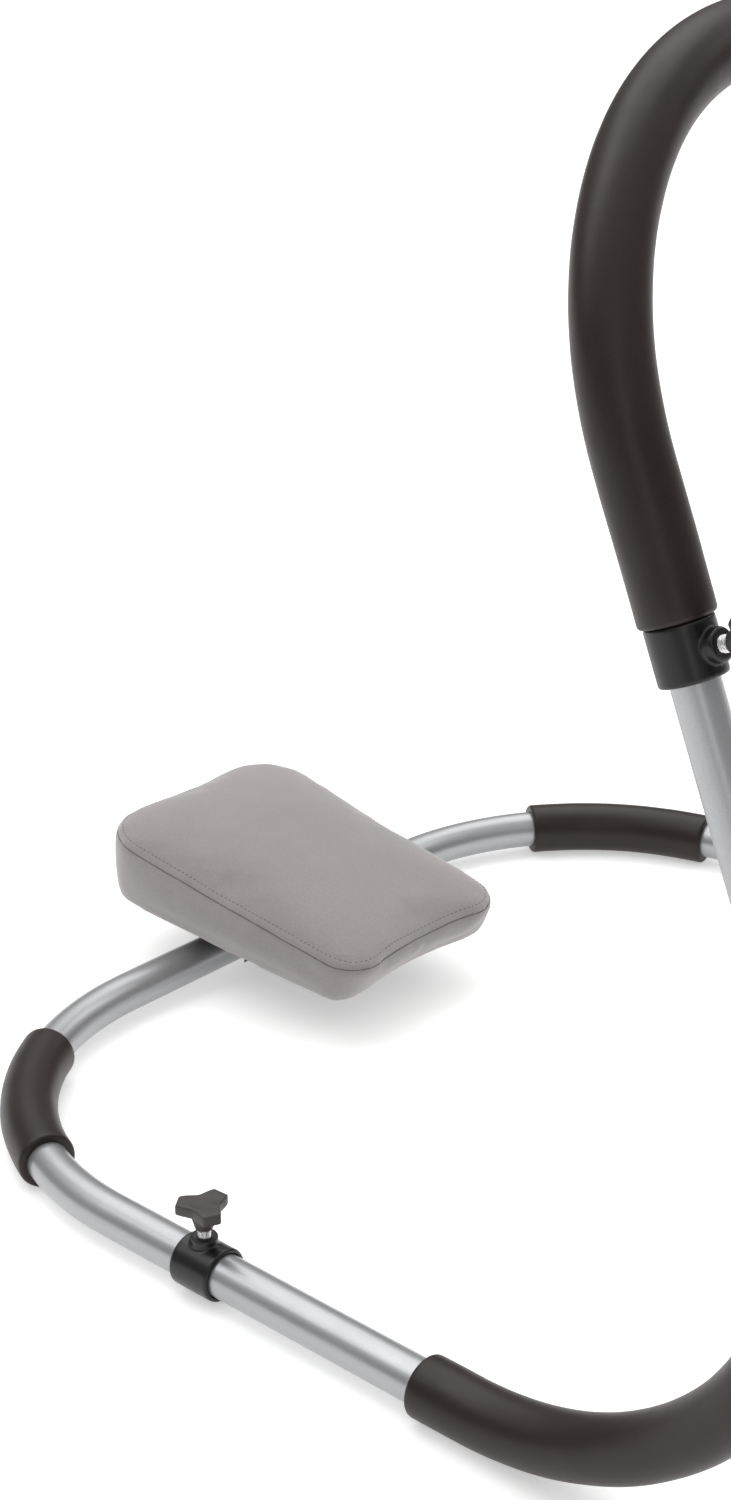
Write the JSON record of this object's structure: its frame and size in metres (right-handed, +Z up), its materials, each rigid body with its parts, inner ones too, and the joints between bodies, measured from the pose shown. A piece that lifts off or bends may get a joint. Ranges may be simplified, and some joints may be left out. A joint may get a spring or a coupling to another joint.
{
  "type": "ab roller",
  "caption": "Abdominal crunch roller: steel-tube floor frame with foam elbow rests, curved foam-covered rockers, a raked foam-covered hand arch and a padded, tilting headrest.",
  "frame": {"origin": "on the floor, under the middle of the object's box", "axes": "+X from the headrest to the rockers, +Y to the left side of a person lying on it with the head on the headrest and the feet forward, +Z up"},
  "size_m": [0.7536, 0.675, 0.6988],
  "materials": {
    "frame_steel": "satin",
    "foam_rubber": "matte",
    "clamp_plastic": "satin",
    "knob_plastic": "satin",
    "screw_steel": "satin",
    "headrest_suede": "matte",
    "headrest_foam": "matte",
    "headrest_board": "matte"
  },
  "bodies": {
    "rockers": {"rocker_tube_left": "frame_steel", "rocker_tube_right": "frame_steel", "rocker_foam_left": "foam_rubber", "rocker_foam_right": "foam_rubber", "rail_spigot_left": "frame_steel", "rail_spigot_right": "frame_steel", "spigot_plug_left": "clamp_plastic", "spigot_plug_right": "clamp_plastic", "upright_left": "frame_steel", "upright_right": "frame_steel", "upright_plug_left": "clamp_plastic", "upright_plug_right": "clamp_plastic"},
    "rear_frame": {"rear_tube": "frame_steel", "elbow_foam_left": "foam_rubber", "elbow_foam_right": "foam_rubber", "rail_collar_left": "clamp_plastic", "rail_collar_right": "clamp_plastic", "rail_nut_left": "screw_steel", "rail_nut_right": "screw_steel"},
    "hand_arch": {"hand_arch_tube": "frame_steel", "hand_arch_foam": "foam_rubber", "arch_collar_left": "clamp_plastic", "arch_collar_right": "clamp_plastic", "arch_nut_left": "screw_steel", "arch_nut_right": "screw_steel"},
    "headrest": {"headrest_cover": "headrest_suede", "headrest_core": "headrest_foam", "headrest_board": "headrest_board", "headrest_saddle_left": "clamp_plastic", "headrest_saddle_right": "clamp_plastic", "headrest_screws": "screw_steel"},
    "rail_screw_left": {"rail_screw_left": "screw_steel"},
    "rail_knob_left": {"rail_knob_left": "knob_plastic"},
    "rail_screw_right": {"rail_screw_right": "screw_steel"},
    "rail_knob_right": {"rail_knob_right": "knob_plastic"},
    "arch_screw_left": {"arch_screw_left": "screw_steel"},
    "arch_knob_left": {"arch_knob_left": "knob_plastic"},
    "arch_screw_right": {"arch_screw_right": "screw_steel"},
    "arch_knob_right": {"arch_knob_right": "knob_plastic"}
  },
  "joints": [
    {"name": "rail_length", "type": "slide", "parent": "rockers", "child": "rear_frame", "axis": [-1, 0, 0], "range_m": [0, 0.04]},
    {"name": "arch_height", "type": "slide", "parent": "rockers", "child": "hand_arch", "axis": [-0.3827, 0, 0.9239], "range_m": [0, 0.05]},
    {"name": "headrest_tilt", "type": "hinge", "parent": "rear_frame", "child": "headrest", "pos_m": [-0.28767, 0, 0.0172], "axis": [0, 1, 0], "range_deg": [-25, 10]},
    {"name": "rail_screw_travel_left", "type": "slide", "parent": "rear_frame", "child": "rail_screw_left", "axis": [0, 0, 1], "range_m": [0, 0.0025]},
    {"name": "rail_knob_turn_left", "type": "hinge", "parent": "rail_screw_left", "child": "rail_knob_left", "pos_m": [-0.02567, 0.32, 0.0497], "axis": [0, 0, 1], "range_deg": [0, 720]},
    {"name": "rail_screw_travel_right", "type": "slide", "parent": "rear_frame", "child": "rail_screw_right", "axis": [0, 0, 1], "range_m": [0, 0.0025]},
    {"name": "rail_knob_turn_right", "type": "hinge", "parent": "rail_screw_right", "child": "rail_knob_right", "pos_m": [-0.02567, -0.32, 0.0497], "axis": [0, 0, 1], "range_deg": [0, 720]},
    {"name": "arch_screw_travel_left", "type": "slide", "parent": "hand_arch", "child": "arch_screw_left", "axis": [0.9239, 0, 0.3827], "range_m": [0, 0.0025]},
    {"name": "arch_knob_turn_left", "type": "hinge", "parent": "arch_screw_left", "child": "arch_knob_left", "pos_m": [0.3041, 0.32, 0.46925], "axis": [0.9239, 0, 0.3827], "range_deg": [0, 720]},
    {"name": "arch_screw_travel_right", "type": "slide", "parent": "hand_arch", "child": "arch_screw_right", "axis": [0.9239, 0, 0.3827], "range_m": [0, 0.0025]},
    {"name": "arch_knob_turn_right", "type": "hinge", "parent": "arch_screw_right", "child": "arch_knob_right", "pos_m": [0.3041, -0.32, 0.46925], "axis": [0.9239, 0, 0.3827], "range_deg": [0, 720]}
  ],
  "couplings": [
    {"joint": "rail_knob_turn_left", "follows": "rail_screw_travel_left", "rad_per_m": 5026.5},
    {"joint": "rail_knob_turn_right", "follows": "rail_screw_travel_right", "rad_per_m": 5026.5},
    {"joint": "arch_knob_turn_left", "follows": "arch_screw_travel_left", "rad_per_m": 5026.5},
    {"joint": "arch_knob_turn_right", "follows": "arch_screw_travel_right", "rad_per_m": 5026.5}
  ]
}
